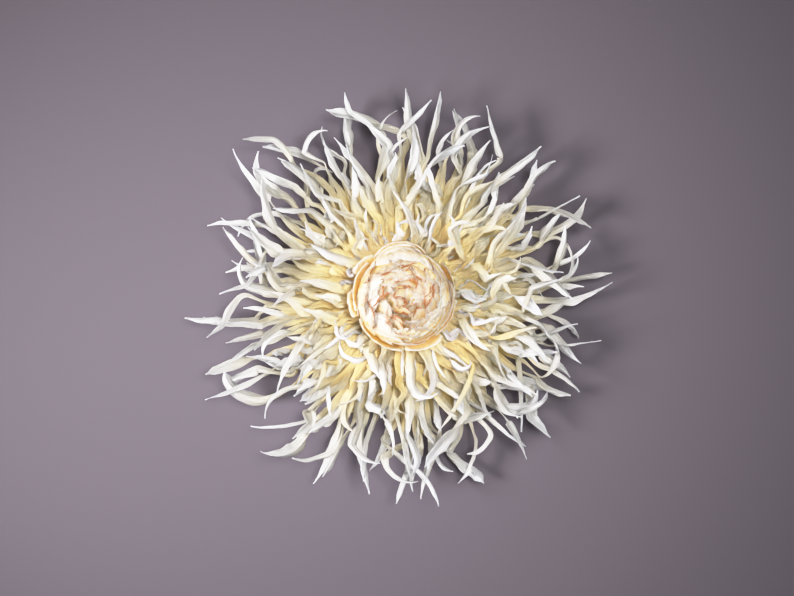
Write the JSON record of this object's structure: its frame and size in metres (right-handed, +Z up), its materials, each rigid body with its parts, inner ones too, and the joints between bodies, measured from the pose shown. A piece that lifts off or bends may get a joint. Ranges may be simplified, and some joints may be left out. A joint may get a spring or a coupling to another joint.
{
  "type": "giant paper flower",
  "caption": "Giant wall flower of crepe paper: a round cupped bud inside tiers of petals cut into long, pointed, twisted fingers, glued to a round board with a wire loop at the back.",
  "frame": {"origin": "centre of the back cover's flat back face, which lies against the wall", "axes": "+Y points back into the wall and the flower faces -Y; +Z is up, towards the hanging loop's eye; +X is to the right seen from the front"},
  "size_m": [0.6985, 0.1661, 0.6932],
  "materials": {
    "crepe_white": "matte",
    "crepe_ivory": "matte",
    "crepe_cream": "matte",
    "crepe_butter": "matte",
    "crepe_bud_cream": "matte",
    "crepe_bud_white": "matte",
    "crepe_blush": "matte",
    "foam": "matte",
    "foam_board": "matte",
    "card": "matte",
    "wrapped_wire": "matte"
  },
  "bodies": {
    "root": {"back_cover": "card", "hanging_loop": "wrapped_wire", "backing_board": "foam_board", "bud_ball": "foam", "outer_petal_1": "crepe_white", "outer_petal_2": "crepe_white", "outer_petal_3": "crepe_white", "outer_petal_4": "crepe_white", "outer_petal_5": "crepe_white", "outer_petal_6": "crepe_white", "outer_petal_7": "crepe_white", "outer_petal_8": "crepe_white", "outer_petal_9": "crepe_white", "outer_petal_10": "crepe_white", "outer_petal_11": "crepe_white", "outer_petal_12": "crepe_white", "second_petal_1": "crepe_ivory", "second_petal_2": "crepe_ivory", "second_petal_3": "crepe_ivory", "second_petal_4": "crepe_ivory", "second_petal_5": "crepe_ivory", "second_petal_6": "crepe_ivory", "second_petal_7": "crepe_ivory", "second_petal_8": "crepe_ivory", "second_petal_9": "crepe_ivory", "second_petal_10": "crepe_ivory", "third_petal_1": "crepe_cream", "third_petal_2": "crepe_cream", "third_petal_3": "crepe_cream", "third_petal_4": "crepe_cream", "third_petal_5": "crepe_cream", "third_petal_6": "crepe_cream", "third_petal_7": "crepe_cream", "third_petal_8": "crepe_cream", "inner_petal_1": "crepe_butter", "inner_petal_2": "crepe_butter", "inner_petal_3": "crepe_butter", "inner_petal_4": "crepe_butter", "inner_petal_5": "crepe_butter", "inner_petal_6": "crepe_butter", "inner_petal_7": "crepe_butter", "bud_cup_1": "crepe_bud_cream", "bud_cup_2": "crepe_bud_cream", "bud_cup_3": "crepe_bud_cream", "bud_cup_4": "crepe_bud_cream", "bud_cup_5": "crepe_bud_cream", "bud_cup_6": "crepe_bud_cream", "bud_cup_7": "crepe_bud_cream", "bud_ring_1": "crepe_bud_white", "bud_ring_2": "crepe_bud_white", "bud_ring_3": "crepe_bud_white", "bud_ring_4": "crepe_bud_white", "bud_ring_5": "crepe_bud_white", "bud_inner_1": "crepe_blush", "bud_inner_2": "crepe_blush", "bud_inner_3": "crepe_blush", "bud_inner_4": "crepe_blush", "bud_heart": "crepe_blush"}
  },
  "joints": []
}
